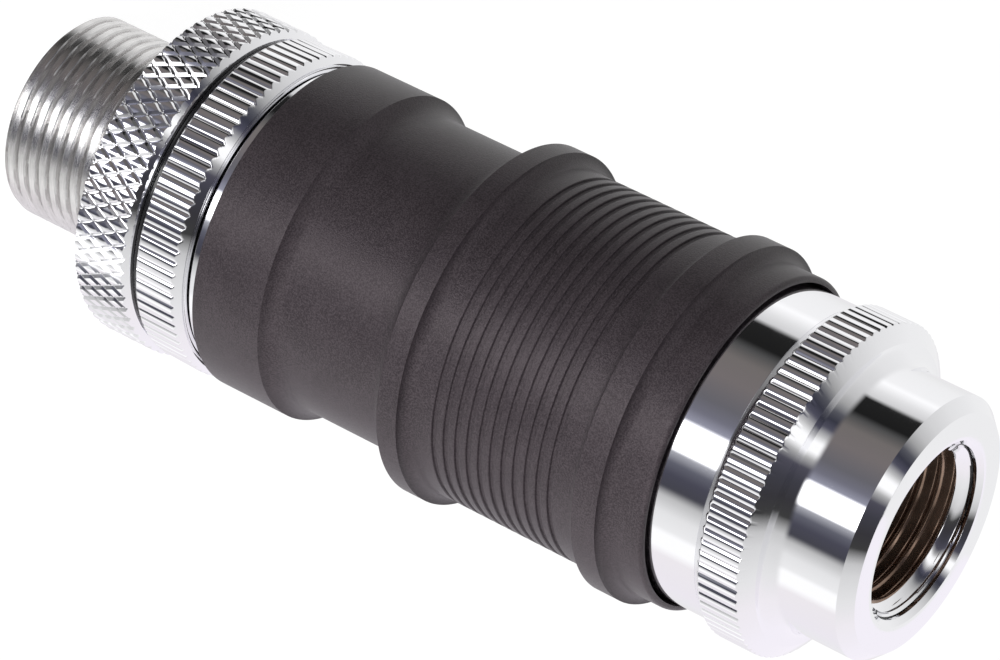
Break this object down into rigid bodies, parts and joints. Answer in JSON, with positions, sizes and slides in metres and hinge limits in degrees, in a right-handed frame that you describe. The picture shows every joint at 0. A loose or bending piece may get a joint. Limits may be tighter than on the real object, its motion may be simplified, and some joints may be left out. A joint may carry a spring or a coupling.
{
  "type": "liquid cooling quick coupling",
  "caption": "Screw-to-connect quick coupling for a liquid cooling loop: bulkhead socket with nut and gasket, knurled union sleeve and valved plug with a threaded port at each end.",
  "frame": {"origin": "centre of the stem's end face, which is the lowest point", "axes": "+Z along the axis from the bulkhead stem's end towards the plug's face"},
  "size_m": [0.0274, 0.0274, 0.0768],
  "materials": {
    "satin_nickel": "satin nickel plate over a cut thread",
    "chrome": "polished chrome plate",
    "nickel_plate": "smooth nickel plate",
    "black_anodised": "matte black anodised, fine blasted grain",
    "gasket_rubber": "glossy black rubber",
    "seal_rubber": "black rubber",
    "brass": "turned brass",
    "ptfe": "white fluoropolymer",
    "acetal": "natural acetal",
    "spring_steel": "bright stainless wire"
  },
  "bodies": {
    "stem": {"bulkhead_stem": "satin_nickel", "stem_seal": "seal_rubber", "guide_ring": "chrome", "socket_body": "nickel_plate", "slip_ring": "ptfe", "socket_spring_seat": "acetal", "socket_valve_spring": "spring_steel"},
    "sleeve": {"coupling_sleeve": "black_anodised"},
    "plug": {"plug_body": "chrome", "plug_adapter": "chrome", "adapter_seal": "seal_rubber", "nose_seal": "seal_rubber", "face_seal": "seal_rubber", "plug_spring_seat": "acetal", "plug_valve_spring": "spring_steel"},
    "socket_valve": {"socket_poppet": "brass", "socket_poppet_seal": "seal_rubber"},
    "plug_valve": {"plug_poppet": "brass", "plug_poppet_seal": "seal_rubber"},
    "gasket": {"panel_gasket": "gasket_rubber"},
    "nut": {"bulkhead_nut": "chrome"}
  },
  "joints": [
    {"name": "sleeve_turn", "type": "hinge", "parent": "stem", "child": "sleeve", "pos_m": [0, 0, 0.0419], "axis": [0, 0, -1], "range_deg": [0, 1200.5]},
    {"name": "plug_slide", "type": "slide", "parent": "stem", "child": "plug", "axis": [0, 0, 1], "range_m": [0, 0.005]},
    {"name": "socket_poppet_slide", "type": "slide", "parent": "stem", "child": "socket_valve", "axis": [0, 0, 1], "range_m": [0, 0.00251], "deforming": ["socket_valve_spring"]},
    {"name": "plug_poppet_slide", "type": "slide", "parent": "plug", "child": "plug_valve", "axis": [0, 0, -1], "range_m": [0, 0.00251], "deforming": ["plug_valve_spring"]},
    {"name": "nut_travel", "type": "slide", "parent": "stem", "child": "gasket", "axis": [0, 0, -1], "range_m": [0, 0.011]},
    {"name": "nut_turn", "type": "hinge", "parent": "gasket", "child": "nut", "pos_m": [0, 0, 0.0137], "axis": [0, 0, -1], "range_deg": [0, 3961]}
  ],
  "couplings": [
    {"joint": "sleeve_turn", "follows": "plug_slide", "rad_per_m": 4188.8},
    {"joint": "socket_poppet_slide", "follows": "plug_slide", "ratio": 0.5},
    {"joint": "plug_poppet_slide", "follows": "plug_slide", "ratio": 0.5},
    {"joint": "nut_turn", "follows": "nut_travel", "rad_per_m": 6283.2}
  ]
}
